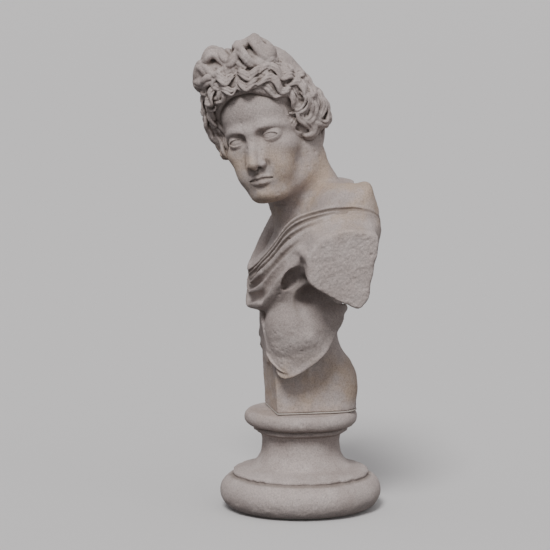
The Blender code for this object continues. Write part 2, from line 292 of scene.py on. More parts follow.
def model_skull(clay):
    """Cranium, face block, jaw, cheekbones and brow. The chin is at height 0 and the crown at 0.240."""
    clay.ball((0, 0.004, 0.148), (0.076, 0.097, 0.091))
    clay.ball((0, -0.034, 0.158), (0.064, 0.067, 0.058), blend=0.02)
    clay.ball((0, -0.043, 0.088), (0.058, 0.056, 0.084), blend=0.015)
    clay.ball((0, -0.05, 0.03), (0.03, 0.038, 0.026), blend=0.015)
    clay.ball((0, -0.0815, 0.0165), (0.02, 0.0205, 0.0165), blend=0.016)
    for side in SIDES:
        jaw = [(side * 0.054, -0.008, 0.072), (side * 0.05, -0.022, 0.04), (side * 0.022, -0.072, 0.017)]
        clay.rod(spline(jaw, 7), np.linspace(0.016, 0.013, 7), blend=0.022)
        clay.ball((side * 0.043, -0.064, 0.089), (0.019, 0.022, 0.015), blend=0.022)
        clay.ball((side * 0.03, -0.076, 0.055), (0.019, 0.02, 0.024), blend=0.02)
        brow = [(side * 0.006, -0.0965, 0.124), (side * 0.026, -0.0965, 0.1295),
                (side * 0.046, -0.081, 0.127), (side * 0.058, -0.056, 0.119)]
        clay.rod(spline(brow, 9), np.linspace(0.0048, 0.0008, 9), blend=0.018)


def model_eye(clay, side):
    """Blank eyeball between two thick lids, in a shaded socket."""
    eye = EYE * (side, 1, 1)
    clay.ball(eye + (side * -0.001, -0.0215, 0.0015), (0.0195, 0.012, 0.011), (0, 0, side * 14), 0.008, True)
    clay.ball(eye + (side * -0.013, -0.015, 0.004), (0.006, 0.0075, 0.0085), (0, 0, 0), 0.007, True)

    def lids(x, y, z):
        across = side * (x - eye[0]) / EYE_HALF_WIDTH
        height = z - eye[2]
        arch = np.sqrt(np.maximum(1 - across * across, 0))
        upper = 0.0062 * arch ** 1.15 * (1 - 0.1 * across) + 0.0008 * across - height
        lower = height + 0.0044 * arch ** 1.25 * (1 + 0.16 * across) - 0.0008 * across
        opening = np.minimum(upper, lower)
        size = EYE_RADII + LID_THICK
        bulge = np.sqrt(((x - eye[0]) / size[0]) ** 2 + ((y - eye[1]) / size[1]) ** 2
                        + ((z - eye[2]) / size[2]) ** 2) - 1
        return np.maximum(bulge * size[1], opening)

    reach = EYE_RADII + 0.007
    clay.everywhere(lids, 0.0022, False, eye - reach, eye + reach)
    clay.ball(eye, EYE_RADII, (0, 0, side * 10), blend=0.0004)
    crease = [(side * -0.0125, -0.012, 0.0058), (side * -0.006, -0.015, 0.0108),
              (side * 0.005, -0.015, 0.0112), (side * 0.014, -0.0085, 0.006)]
    clay.rod(eye + spline(crease, 9), 0.001, blend=0.0025, hollow=True)


def model_nose(clay):
    bridge = [(0, -0.093, 0.122), (0, -0.0965, 0.113), (0, -0.108, 0.09), (0, -0.117, 0.074)]
    clay.rod(spline(bridge, 9), np.linspace(0.0075, 0.0072, 9), blend=0.009)
    clay.ball((0, -0.119, 0.0695), (0.0078, 0.0082, 0.0072), blend=0.006)
    for side in SIDES:
        wall = [(side * 0.0065, -0.093, 0.108), (side * 0.0095, -0.098, 0.085), (side * 0.011, -0.103, 0.073)]
        clay.rod(spline(wall, 5), np.linspace(0.0055, 0.0068, 5), blend=0.01)
        clay.ball((side * 0.0108, -0.1045, 0.0676), (0.006, 0.009, 0.006), (12, 0, side * 14), 0.008)
    clay.rod([(0, -0.118, 0.0645), (0, -0.106, 0.06)], (0.0036, 0.0042), blend=0.004)
    for side in SIDES:
        clay.ball((side * 0.0066, -0.1085, 0.0612), (0.003, 0.0058, 0.004), (25, 0, side * 20), 0.0016, True)
        crease = [(side * 0.0165, -0.112, 0.074), (side * 0.0195, -0.103, 0.072),
                  (side * 0.019, -0.097, 0.064)]
        clay.rod(spline(crease, 6), 0.0009, blend=0.005, hollow=True)


def model_mouth(clay):
    """Closed, level lips, with the hollow above the chin and the groove under the nose."""
    clay.ball((0, -0.083, 0.046), (0.027, 0.0195, 0.023), blend=0.012)
    for side in SIDES:
        upper = [(0, -0.1035, 0.0462), (side * 0.0055, -0.104, 0.0474), (side * 0.014, -0.1005, 0.0452),
                 (side * 0.0235, -0.0915, 0.0418)]
        clay.rod(spline(upper, 9), np.linspace(0.0042, 0.0016, 9), blend=0.004)
        lower = [(0, -0.1015, 0.0352), (side * 0.007, -0.101, 0.0356), (side * 0.015, -0.0965, 0.0376),
                 (side * 0.0225, -0.0915, 0.0408)]
        clay.rod(spline(lower, 9), np.linspace(0.0052, 0.0018, 9), blend=0.004)
    clay.ball((0, -0.11, 0.0262), (0.017, 0.0095, 0.005), blend=0.007, hollow=True)
    line = [(-0.025, -0.093, 0.0412), (-0.014, -0.1015, 0.0416), (-0.005, -0.107, 0.0424),
            (0, -0.1075, 0.0416), (0.005, -0.107, 0.0424), (0.014, -0.1015, 0.0416), (0.025, -0.093, 0.0412)]
    clay.rod(spline(line, 19), 0.0013, blend=0.0022, hollow=True)
    clay.rod([(0, -0.111, 0.0515), (0, -0.1085, 0.059)], (0.003, 0.0022), blend=0.004, hollow=True)


def model_ear(clay, side):
    rim = [(side * 0.073, -0.006, 0.098), (side * 0.078, -0.002, 0.116), (side * 0.083, 0.014, 0.122),
           (side * 0.084, 0.026, 0.108), (side * 0.08, 0.02, 0.084), (side * 0.075, 0.008, 0.066)]
    clay.ball((side * 0.074, 0.01, 0.094), (0.007, 0.016, 0.028), (-8, 0, 0), 0.006)
    clay.rod(spline(rim, 14), np.linspace(0.0032, 0.0044, 14), blend=0.002)
    clay.ball((side * 0.083, 0.004, 0.092), (0.006, 0.007, 0.01), (-8, 0, 0), 0.003, True)


SLACK_MUSCLE = 0.3  # how far the slack right muscle is drawn into the neck


def sunk_neck(beyond):
    """How deep the neck sinks under the other piece's, at a distance past the height where they meet."""
    return 0.14 * np.maximum(beyond, 0) ** 1.1


def model_neck(clay, slack):
    """Neck in the object's frame, with the muscles that turn the head, the throat and the nape.

    The head and the body both hold it. The slack, at a given height, sinks one of them under the other.
    """
    place, clay.place = clay.place, HERE

    def limb(points, blend, count=12):
        line = spline(points, count)
        clay.rod(line[:, :3], line[:, 3] - slack(line[:, 2]), blend)

    limb([(0, 0.046, 0.44, 0.07), (0, 0.036, 0.5, 0.061), (0.001, 0.012, 0.555, 0.054),
          (0.005, -0.012, 0.605, 0.052), (0.01, -0.024, 0.65, 0.053)], 0.02, 18)
    for side, foot in ((-1, (-0.012, -0.03, 0.492)), (1, (0.022, -0.032, 0.494))):
        mastoid = HEAD((side * 0.056, 0.022, 0.062))
        if side < 0:
            mastoid = (1 - SLACK_MUSCLE) * mastoid + SLACK_MUSCLE * array((0.005, -0.012, 0.612))
        middle = (mastoid + array(foot)) / 2 + (side * 0.003, -0.004, 0)
        limb([(*mastoid, 0.013), (*middle, 0.0105), (*foot, 0.008)], 0.024)
    for side in SIDES:
        limb([(side * 0.022, 0.018, 0.606, 0.016), (side * 0.03, 0.04, 0.568, 0.022),
              (side * 0.07, 0.052, 0.53, 0.026)], 0.03)
    clay.ball((0.006, -0.036, 0.56), (0.014, 0.014, 0.02), blend=0.02)
    clay.place = place


def make_head():
    clay = Clay((-0.125, -0.185, 0.455), (0.145, 0.11, 0.8), HEAD_STEP, HEAD)
    model_neck(clay, lambda z: sunk_neck(0.545 - z))
    clay.ball((0, -0.02, 0.03), (0.044, 0.044, 0.026), blend=0.03)
    model_skull(clay)
    model_nose(clay)
    model_mouth(clay)
    for side in SIDES:
        model_eye(clay, side)
        model_ear(clay, side)
    return clay


# ---- hair

SCALP = array((0, 0.004, 0.156))  # centre of the scalp, in the head's frame
SCALP_RADII = array((0.083, 0.095, 0.094))
KNOT = array((-0.01, -0.064, 0.238))  # middle of the double knot over the brow
WAVE = 0.058  # length of one wave of the hair
RAY = 0.09  # any length that lies inside the hair: only its direction counts
HAIR_SEED = 7


def over_scalp(points, lift):
    """The points moved along rays from the scalp's centre, to a height over it."""
    away = array(points) - SCALP
    base = away / np.sqrt(((away / SCALP_RADII) ** 2).sum(-1, keepdims=True))
    length = np.sqrt((base ** 2).sum(-1, keepdims=True))
    return SCALP + base * (1 + np.reshape(lift, (-1, 1)) / length)


def lift_of(points):
    away = array(points) - SCALP
    size = np.sqrt(((away / SCALP_RADII) ** 2).sum(-1))
    return np.sqrt((away ** 2).sum(-1)) * (1 - 1 / size)


def round_head(longitude, height):
    """A direction from the scalp's centre. Longitude is in degrees, 0 at the face and 90 at the left ear."""
    turn = radians(longitude)
    return SCALP + (RAY * sin(turn), -RAY * cos(turn), height - SCALP[2])


def frames(line, centre):
    """Unit vectors along a line, out from a centre and across, at each point."""
    ahead = np.gradient(line, axis=0)
    ahead /= np.linalg.norm(ahead, axis=1, keepdims=True)
    out = line - centre
    out -= ahead * (out * ahead).sum(1, keepdims=True)
    out /= np.linalg.norm(out, axis=1, keepdims=True)
    return out, np.cross(ahead, out)


def lock(clay, path, width, rng, sway=0.004, phase=0.0, strands=3, tip=0.3, root=0.6, wave=WAVE):
    """A tapering bundle of strands that sways from side to side along its path."""
    line = spline(path, 28)
    out, across = frames(line, SCALP)
    run = np.concatenate([[0], np.cumsum(np.linalg.norm(np.diff(line, axis=0), axis=1))])
    t = run / run[-1]
    body = np.minimum(1, root + 2.2 * t) * (1 - (1 - tip) * np.clip((t - 0.6) / 0.4, 0, 1) ** 1.5)
    swing = 2 * pi * run / wave + phase
    line = line + across * (sway * np.sin(swing))[:, None] + out * (0.3 * sway * np.cos(2 * swing))[:, None]
    twist = rng.uniform(-0.7, 0.7)
    for k in range(strands):
        spot = (k - (strands - 1) / 2) / strands
        own_phase = rng.uniform(0, 2 * pi)
        part = 1 + 0.3 * np.sin(0.5 * swing + own_phase)
        turned = twist * (t - 0.4) + 0.25 * np.sin(0.6 * swing + own_phase)
        side = width * spot * body * part * np.cos(turned)
        rise = width * spot * body * np.sin(turned) - width * 0.55 * spot * spot
        own = line + across * side[:, None] + out * rise[:, None]
        size = width * (0.47 / strands + 0.022) * body * (1 + 0.12 * np.sin(swing * 0.7 + rng.uniform(0, 6)))
        clay.rod(own, size, 0.0007)


def model_cap(clay, rng):
    """Smooth hair over the crown and the back, with faint strands combed back from the knot."""
    clay.ball(SCALP, SCALP_RADII)
    clay.ball((0, -0.016, 0.222), (0.064, 0.064, 0.043), blend=0.02)
    bed = clay.field.copy()
    for longitude in range(20, 344, 9):
        lean = longitude + rng.uniform(-3, 3)
        top = (0.014 * sin(radians(lean)), -0.03 - 0.034 * cos(radians(lean)), 0.275)
        path = [top, round_head(lean + 6, 0.252), round_head(lean + 5, 0.215), round_head(lean - 6, 0.165),
                round_head(lean + 3, 0.11)]
        line = spline(over_scalp(path, 0.01), 20)
        line = settle(clay, bed, line, line - SCALP, -0.0042 + rng.uniform(-0.001, 0.0014))
        clay.rod(line, np.linspace(0.0055, 0.0076, 20), blend=0.0022)


def model_front_locks(clay, side, rng):
    """Thick wavy locks swept from the centre parting down to the ear, between hairline and crest."""
    hairline = [(0.0, -0.101, 0.202), (0.026, -0.0985, 0.1975), (0.05, -0.084, 0.183),
                (0.069, -0.056, 0.16), (0.078, -0.028, 0.132), (0.081, -0.006, 0.104)]
    crest = [(0.0, -0.08, 0.233), (0.038, -0.068, 0.234), (0.066, -0.044, 0.216),
             (0.084, -0.012, 0.186), (0.09, 0.016, 0.152), (0.088, 0.036, 0.12)]
    low, high = mirrored(hairline, side), mirrored(crest, side)
    fuller = 1.0 if side > 0 else 1.5

    def route_at(share):
        guide = low * (1 - share) + high * share
        fall = np.linspace(0, 1, len(guide))
        lift = lift_of(low) * (1 - share) + lift_of(high) * share + 0.009 * sin(pi * share)
        return spline(np.hstack([guide, (lift + (fuller - 1) * 0.016 * fall)[:, None]]), 40)

    for share in np.linspace(0, 1, 6):
        route = route_at(share)
        clay.rod(over_scalp(route[:, :3], route[:, 3] - 0.0075), 0.009, 0.004)
    for row, share in enumerate((0.1, 0.42, 0.72, 1.0)):
        route = route_at(share)[:34:3]
        lock(clay, over_scalp(route[:, :3], route[:, 3] + 0.0005 + rng.uniform(-0.001, 0.002)), 0.0195, rng,
             0.0056, 1.1 * row + rng.uniform(-0.4, 0.4), tip=0.6)
    for share, first, length, width in ((0.05, 0, 13, 0.015), (0.45, 0, 13, 0.017), (0.8, 0, 14, 0.017),
                                        (0.2, 8, 15, 0.016), (0.62, 8, 16, 0.018), (0.0, 16, 14, 0.015),
                                        (0.42, 18, 15, 0.017), (0.9, 15, 15, 0.016)):
        route = route_at(share + rng.uniform(-0.06, 0.06))
        stretch = route[np.linspace(first, min(39, first + length), 7).astype(int)]
        lifts = stretch[:, 3] + 0.003 + 0.0065 * np.sin(np.linspace(0.2, pi, 7))
        lock(clay, over_scalp(stretch[:, :3], lifts), width, rng, 0.0075, rng.uniform(0, 2 * pi), tip=0.3,
             root=0.35, wave=0.046)


def model_curl(clay, bed, longitude, height, length, rng, width, lift, turn=1):
    """A hanging wavy lock that ends in a hook."""
    fall = array([0, 0.3, 0.62, 0.9, 1.0, 0.88]) * length
    swing = array([0, 6, 4, -3, -10, -15]) * turn
    path = over_scalp([round_head(longitude + s, height - f) for s, f in zip(swing, fall)], 0.012)
    lifts = array([-0.45, 0.2, 0.65, 0.75, 0.55, 0.3]) * lift
    lock(clay, settle(clay, bed, path, path - SCALP, lifts), width, rng, 0.0042, rng.uniform(0, 6),
         rng.choice([2, 2, 3]), 0.4, 0.8, 0.05)


def model_curls(clay, rng):
    """Hanging locks round the sides and the nape, fuller in front of the ears than behind."""
    for longitude in range(66, 300, 12):
        behind = min(longitude, 360 - longitude)
        side = 1 if longitude < 180 else -1
        forward = max(0.0, (112 - behind) / 45)
        for height in (0.15, 0.12, 0.098):
            lift = -0.01 + forward * (0.009 if side > 0 else 0.018)
            clay.ball(over_scalp([round_head(longitude, height)], lift)[0], 0.015, blend=0.01)
    bed = clay.field.copy()
    tiers = ((0.186, 0.066, 0.007), (0.16, 0.064, 0.008), (0.13, 0.058, 0.008), (0.1, 0.05, 0.007))
    for tier, (height, length, lift) in enumerate(tiers):
        for longitude in range(57 + 8 * (tier % 2), 305, 14):
            behind = min(longitude, 360 - longitude)
            if (tier == 0 and behind > 112) or (tier == 3 and behind < 96):
                continue
            side = 1 if longitude < 180 else -1
            model_curl(clay, bed, longitude + rng.uniform(-4, 4), height + rng.uniform(-0.008, 0.008),
                       length * rng.uniform(0.85, 1.15), rng, rng.uniform(0.016, 0.022),
                       lift * (0.4 if behind > 108 else 1.0), side * rng.choice([1, 1, -1]))


def model_knot(clay, rng):
    """Two full loops of hair tied over the brow, and the band that ties them."""
    for side, reach, droop, sink in ((-1, 0.086, 0.01, 0.003), (1, 0.076, -0.012, 0.009)):
        strands = 7
        for k in range(strands):
            start = 2 * pi * k / strands + rng.uniform(-0.15, 0.15)
            s = np.linspace(0, 1, 24)
            wobble = rng.uniform(0, 2 * pi)
            turn = start + side * (0.3 + 1.9 * s) + 0.34 * np.sin(2 * pi * 1.6 * s + wobble)
            spread = 0.0295 * np.sin(pi * (0.14 + 0.82 * s)) ** 0.6 * rng.uniform(0.88, 1.12)
            spread = spread * (1 + 0.12 * np.sin(2 * pi * 2.1 * s + wobble))
            axis = np.stack([KNOT[0] + side * (-0.006 + reach * s), KNOT[1] - 0.006 + 0.008 * s,
                             KNOT[2] - sink + 0.014 * np.sin(pi * s) - droop * s], 1)
            line = axis + np.stack([0 * s, 1.05 * spread * np.cos(turn), 1.08 * spread * np.sin(turn)], 1)
            radius = 0.01 * np.sin(pi * (0.18 + 0.7 * s)) ** 0.5 * rng.uniform(0.9, 1.12)
            for part in (-1, 1):
                shift = np.stack([0 * s, -np.sin(turn), np.cos(turn)], 1) * (part * 0.46 * radius)[:, None]
                clay.rod(line + shift, 0.6 * radius, blend=0.0005)
        clay.ball(KNOT + (side * 0.45 * reach, -0.002, 0.006 - sink - 0.4 * droop),
                  (0.46 * reach, 0.024, 0.024))
        clay.ball(KNOT + (side * (reach - 0.012), 0.002, -0.002 - droop), (0.012, 0.016, 0.015), blend=0.003)
    for k in (-1, 0, 1):
        turn = np.linspace(-0.3 * pi, 1.25 * pi, 14)
        loop = np.stack([KNOT[0] + 0.0072 * k + 0.001 * np.sin(3 * turn),
                         KNOT[1] - 0.026 * np.cos(turn) - 0.006,
                         KNOT[2] + 0.022 * np.sin(turn) - 0.004], 1)
        clay.rod(loop, 0.005, blend=0.001)


def make_hair():
    """The hair, in the head's frame."""
    rng = np.random.default_rng(HAIR_SEED)
    clay = Clay((-0.13, -0.145, 0.02), (0.13, 0.145, 0.3), HAIR_STEP, HERE)
    model_cap(clay, rng)
    for side in SIDES:
        model_front_locks(clay, side, rng)
    model_curls(clay, rng)
    model_knot(clay, rng)
    return clay


# ---- trunk, cloak and column

FOOT_HALF_WIDTH = 0.0625
FOOT_FRONT = -0.053


def curve_value(at, table):
    """Smooth reading of a table of (position, value) pairs."""
    smooth = spline(table, 64)
    return np.interp(at, smooth[:, 0], smooth[:, 1])


def fold(clay, points, radii, blend=0.008, hollow=False):
    """A ridge or a valley of cloth along a smooth curve, with a radius at each of its points."""
    radii = np.broadcast_to(array(radii), (len(points),))
    line = spline(np.hstack([array(points), radii[:, None]]), 26)
    clay.rod(line[:, :3], np.maximum(line[:, 3], 0.0005), blend, hollow)


def outline_distance(u, v, points):
    """Signed distance to a closed outline in a plane."""
    points = array(points)
    nearest = np.full(np.broadcast(u, v).shape, 1e9)
    inside = np.zeros(nearest.shape, bool)
    for (u0, v0), (u1, v1) in zip(points, np.roll(points, -1, 0)):
        du, dv = u1 - u0, v1 - v0
        along = np.clip(((u - u0) * du + (v - v0) * dv) / (du * du + dv * dv), 0, 1)
        nearest = np.minimum(nearest, (u - u0 - along * du) ** 2 + (v - v0 - along * dv) ** 2)
        if dv:
            crossed = ((v0 > v) != (v1 > v)) & (u < u0 + (v - v0) * du / dv)
            inside ^= crossed
    return np.where(inside, -1, 1) * np.sqrt(nearest)


TRUNK_HALF_WIDTH = [(0.2, 0.08), (0.25, 0.1), (0.3, 0.112), (0.35, 0.12), (0.4, 0.126), (0.45, 0.132),
                    (0.5, 0.128), (0.54, 0.1), (0.57, 0.06)]
TRUNK_FRONT = [(0.2, -0.045), (0.25, -0.058), (0.3, -0.065), (0.35, -0.068), (0.38, -0.074), (0.41, -0.077),
               (0.45, -0.06), (0.49, -0.037), (0.52, -0.012), (0.57, 0.02)]
TRUNK_BACK = [(0.2, 0.045), (0.25, 0.055), (0.3, 0.062), (0.35, 0.072), (0.4, 0.084), (0.45, 0.096),
              (0.5, 0.104), (0.54, 0.102), (0.57, 0.09)]
# Height of the cut edge round the trunk, at angles from the front
LOWER_EDGE = [(0, 0.262), (34, 0.266), (48, 0.256), (62, 0.246), (78, 0.257), (98, 0.29), (110, 0.338),
              (122, 0.374), (150, 0.395), (180, 0.4)]
UNDERCUT = 0.95  # how fast the underside rises inwards, from UNDERCUT_FROM degrees on
UNDERCUT_FROM, UNDERCUT_FADE = 18, 24
FLANK_FRONT = {-1: -0.008, 1: -0.027}  # the left flank is pushed forward by the raised arm


def trunk_distance(x, y, z):
    half = curve_value(z, TRUNK_HALF_WIDTH)
    front, back = curve_value(z, TRUNK_FRONT), curve_value(z, TRUNK_BACK)
    middle, depth = (front + back) / 2, (back - front) / 2
    size = (np.abs(x / half) ** 2.5 + np.abs((y - middle) / depth) ** 2.5) ** 0.4
    return (size - 1) * np.minimum(half, depth)


def under_trunk(x, y, z):
    """The space below the trunk's cut edge. It rises inwards, so the edge throws a shadow."""
    around = np.degrees(np.arctan2(np.abs(x), -y + 0.004))
    inward = np.maximum(0.108 - np.sqrt(x * x + y * y), 0)
    share = np.clip((around - UNDERCUT_FROM) / UNDERCUT_FADE, 0, 1)
    return z - curve_value(around, LOWER_EDGE) - UNDERCUT * inward * share


def model_trunk(clay):
    clay.everywhere(trunk_distance, low=(-0.15, -0.11, 0.2), high=(0.15, 0.14, 0.58))
    for side in SIDES:
        clay.ball((side * 0.054, -0.042, 0.408), (0.06, 0.036, 0.042), (12, 0, side * 10), 0.014)
        forward = FLANK_FRONT[side]
        clay.ball((side * 0.061, forward, 0.292), (0.04, 0.043, 0.098), (0, side * -5, 0), 0.014)
        clay.ball((side * 0.072, forward - 0.001, 0.335), (0.046, 0.046, 0.052), blend=0.016)
        clay.ball((side * 0.1, 0.02, 0.385), (0.026, 0.042, 0.06), (18, 0, 0), 0.02)
        clay.ball((side * 0.088, 0.004, 0.318), (0.028, 0.046, 0.05), blend=0.016)
        for k in range(3):
            start = (side * (0.104 + 0.003 * k), 0.016 - 0.012 * k, 0.368 - 0.024 * k)
            end = (side * (0.097 - 0.004 * k), -0.038 - 0.006 * k, 0.348 - 0.024 * k)
            clay.rod([start, end], (0.012, 0.009), blend=0.014)
    fold(clay, [(0, -0.086, 0.42), (0, -0.084, 0.39), (0, -0.08, 0.355)], 0.0055, 0.012, True)
    for side in SIDES:
        forward = FLANK_FRONT[side]
        arch = [(side * 0.016, -0.068, 0.372), (side * 0.04, forward - 0.046, 0.345),
                (side * 0.06, forward - 0.042, 0.303), (side * 0.066, forward - 0.038, 0.28)]
        fold(clay, arch, (0.003, 0.005, 0.0045, 0.003), 0.005)
    bed = clay.field.copy()
    clay.everywhere(under_trunk, 0.001, True)
    model_flank_rims(clay, bed)
    clay.everywhere(under_trunk, 0.001, True)
    for side in SIDES:
        clay.ball((side * 0.136, 0.018, 0.376), (0.032, 0.052, 0.036), (0, 0, 0), 0.012, True)


FLANK_STEPS = 30


def flank_line(clay, bed, side, above, lift, first, last):
    """A line on the trunk that runs above its cut edge, from one angle round the trunk to another."""
    around = np.linspace(first, last, FLANK_STEPS)
    turn = np.radians(around)
    rays = np.stack([side * np.sin(turn), -np.cos(turn), 0 * turn], 1)
    points = rays * 0.105 + (0, 0.004, 0)
    points[:, 2] = curve_value(around, LOWER_EDGE) + above
    return settle(clay, bed, points, rays, lift)


def model_flank_rims(clay, bed):
    """The flank's cut edge, a little thicker than the flank, and a thin ridge over its front part."""
    taper = np.sin(np.linspace(0.25, pi - 0.25, FLANK_STEPS))
    for side in SIDES:
        clay.rod(flank_line(clay, bed, side, 0.003, -0.0008, 30, 112), 0.003, 0.01)
        groove = flank_line(clay, bed, side, np.linspace(0.015, 0.006, FLANK_STEPS), 0.0022, 30, 64)
        clay.rod(groove, 0.0036 * taper, 0.008, True)
        ridge = flank_line(clay, bed, side, np.linspace(0.027, 0.01, FLANK_STEPS), 0.0004, 29, 64)
        clay.rod(ridge, 0.0024 * taper, 0.0012)


def column_distance(x, y, z):
    """Squared tablet in front, rounded column behind. Its back rises in an S."""
    back = curve_value(z, [(0.16, 0.0955), (0.19, 0.0965), (0.215, 0.099), (0.24, 0.0965), (0.262, 0.0865),
                           (0.285, 0.07), (0.31, 0.063), (0.34, 0.066), (0.38, 0.076), (0.43, 0.086),
                           (0.5, 0.094), (0.54, 0.094)])
    half = curve_value(z, [(0.16, 0.062), (0.2, 0.062), (0.23, 0.0615), (0.26, 0.058), (0.3, 0.05),
                           (0.35, 0.045), (0.42, 0.043), (0.54, 0.045)])
    depth = (back + 0.045) / 2
    middle = back - depth
    size = (np.abs(x / half) ** 3.2 + np.abs((y - middle) / depth) ** 3.2) ** (1 / 3.2)
    return np.maximum((size - 1) * np.minimum(half, depth), 0.17 - z)


def tablet_distance(x, y, z):
    edge = 0.0025
    lean = 0.06 * (z - 0.18)
    across = np.abs(x) - (FOOT_HALF_WIDTH - edge - 0.1 * np.maximum(z - 0.25, 0))
    ahead = np.abs(y - (FOOT_FRONT + 0.03 - lean)) - (0.03 - edge)
    outside = np.sqrt(np.maximum(across, 0) ** 2 + np.maximum(ahead, 0) ** 2)
    side = outside + np.minimum(np.maximum(across, ahead), 0) - edge
    return np.maximum(np.maximum(side, 0.17 - z), z - 0.33)


def model_column(clay, base):
    clay.everywhere(column_distance, 0.004, low=(-0.09, -0.08, base - 0.01), high=(0.09, 0.13, 0.54))
    clay.everywhere(tablet_distance, 0.01, low=(-0.09, -0.11, base - 0.01), high=(0.09, 0.03, 0.34))


SLEEVE_END = spline([(-0.029, 0.454), (-0.026, 0.424), (0.004, 0.402), (0.04, 0.384), (0.062, 0.378),
                     (0.074, 0.4), (0.084, 0.445), (0.094, 0.488), (0.084, 0.505), (0.044, 0.511),
                     (0.01, 0.503), (-0.018, 0.483), (-0.029, 0.454)], 48)[:-1]  # y and z


def sleeve_distance(x, y, z):
    """The cloak over the raised left arm. Its section rises towards the shoulder and sinks into it."""
    inward = np.maximum(0.205 - x, -0.02)
    sunk = 0.7 * np.maximum(0.125 - x, 0)
    return outline_distance(y - 0.06 * inward, z - 0.26 * inward, SLEEVE_END) + sunk


def model_sleeve(clay):
    clay.everywhere(sleeve_distance, 0.016, low=(0.06, -0.07, 0.34), high=(0.23, 0.13, 0.58))
    clay.ball((0.116, 0.054, 0.492), (0.072, 0.054, 0.046), (0, 18, 0), 0.02)
    clay.ball((0.088, 0.064, 0.54), (0.046, 0.045, 0.041), blend=0.02)
    clay.ball((0.112, 0.07, 0.508), (0.05, 0.044, 0.04), blend=0.02)
    clay.ball((0.114, 0.074, 0.545), (0.037, 0.034, 0.031), (0, 20, 0), 0.016)
    for points, size in (([(0.14, -0.004, 0.5), (0.175, -0.006, 0.496), (0.212, 0.002, 0.488)], 0.005),
                         ([(0.14, -0.028, 0.472), (0.18, -0.026, 0.468), (0.212, -0.02, 0.462)], 0.006)):
        fold(clay, points, size, 0.01)
    for drop in (0.025, 0.058, 0.09):
        back = 0.087 - 0.12 * drop
        fold(clay, [(0.11, back + 0.004, 0.536 - drop), (0.165, back, 0.511 - drop),
                    (0.212, back - 0.01, 0.486 - drop)], 0.006, 0.018)


# The cloak's rolled rim and its lower hem, from the left shoulder to the clasp
RIM = [(0.112, 0.106, 0.512), (0.126, 0.08, 0.519), (0.129, 0.051, 0.526), (0.122, 0.027, 0.531),
       (0.107, -0.009, 0.527), (0.087, -0.031, 0.511), (0.05, -0.048, 0.475), (0.01, -0.062, 0.443),
       (-0.042, -0.073, 0.418), (-0.086, -0.066, 0.428), (-0.116, -0.04, 0.462), (-0.136, -0.01, 0.505),
       (-0.142, 0.01, 0.532)]
HEM = [(0.16, 0.098, 0.494), (0.156, 0.064, 0.506), (0.156, 0.028, 0.498), (0.152, -0.004, 0.47),
       (0.134, -0.03, 0.444), (0.108, -0.05, 0.416), (0.072, -0.068, 0.378), (0.03, -0.077, 0.37),
       (-0.034, -0.073, 0.368), (-0.09, -0.06, 0.392), (-0.126, -0.036, 0.448), (-0.146, -0.006, 0.5),
       (-0.15, 0.012, 0.524)]
CLOTH_STEPS = 90  # points along the rim and the hem
FOLD_STEPS = 46  # points along each fold


def cloth_line(across, lift=0.0, first=0.0, last=1.0, bed=None, clay=None):
    """A line along the cloak's front: 0 across is its rolled rim and 1 its lower hem.

    A pair for across gives its values at the shoulder's and the clasp's end."""
    rim, hem = spline(RIM, CLOTH_STEPS), spline(HEM, CLOTH_STEPS)
    across = np.linspace(*across, CLOTH_STEPS)[:, None] if isinstance(across, tuple) else across
    line = rim * (1 - across) + hem * across
    rays = line - (0, 0.03, 0.4)
    rays[:, 2] *= 0.85
    rays /= np.linalg.norm(rays, axis=1)[:, None]
    start, end = (int(share * (CLOTH_STEPS - 1)) for share in (first, last))
    line, rays = (spline(v[start:end + 1], FOLD_STEPS) for v in (line, rays))
    if bed is None:
        flat = rays * (1, 1, 0.4)
        return line + flat * (lift + 0.007 * across * across)
    return settle(clay, bed, line, rays, lift)


# Folds of the cloak: where across the cloth each starts and ends, its size, and its start and end along it
RIDGES = [((0.0, 0.0), 0.0064, 0.0, 1.0), ((0.1, 0.16), 0.0046, 0.0, 1.0),
          ((0.2, 0.32), 0.005, 0.16, 0.9), ((0.42, 0.48), 0.0078, 0.12, 1.0),
          ((0.66, 0.72), 0.008, 0.3, 0.94), ((0.98, 0.95), 0.009, 0.2, 0.97)]
VALLEYS = [((0.045, 0.08), 0.003, 0.0, 0.86), ((0.15, 0.235), 0.0036, 0.17, 0.88),
           ((0.29, 0.4), 0.0056, 0.28, 0.9), ((0.54, 0.6), 0.007, 0.34, 0.86),
           ((0.82, 0.86), 0.009, 0.42, 0.82)]


def model_front_folds(clay):
    """The cloak runs from the left shoulder, across the chest in a pouch, up to the clasp on the right."""
    for across in (0.1, 0.25, 0.4, 0.55, 0.7, 0.85, 1.0):
        clay.rod(cloth_line(across, -0.005, 0.12), 0.01, 0.014)
    bed = clay.field.copy()
    run = np.linspace(0, 1, FOLD_STEPS)
    taper = np.minimum(1, np.minimum(run * 3.2, (1 - run) * 2.4)) ** 0.8
    swell = 0.4 + 0.6 * np.sin(pi * np.clip(run * 1.05, 0, 1)) ** 0.8
    for across, size, first, last in RIDGES:
        clay.rod(cloth_line(across, -0.1 * size, first, last, bed, clay), size * taper * swell, 0.0065)
    for across, size, first, last in VALLEYS:
        clay.rod(cloth_line(across, 0.25 * size, first, last, bed, clay), size * taper * swell, 0.0055, True)
    fold(clay, [(0.132, -0.052, 0.458), (0.114, -0.066, 0.434), (0.096, -0.077, 0.41),
                (0.078, -0.086, 0.386)],
         (0.003, 0.0085, 0.0115, 0.009), 0.005, True)
    fold(clay, [(0.172, -0.03, 0.436), (0.148, -0.036, 0.43), (0.126, -0.042, 0.42), (0.106, -0.052, 0.408)],
         (0.009, 0.0145, 0.0145, 0.007), 0.003, True)


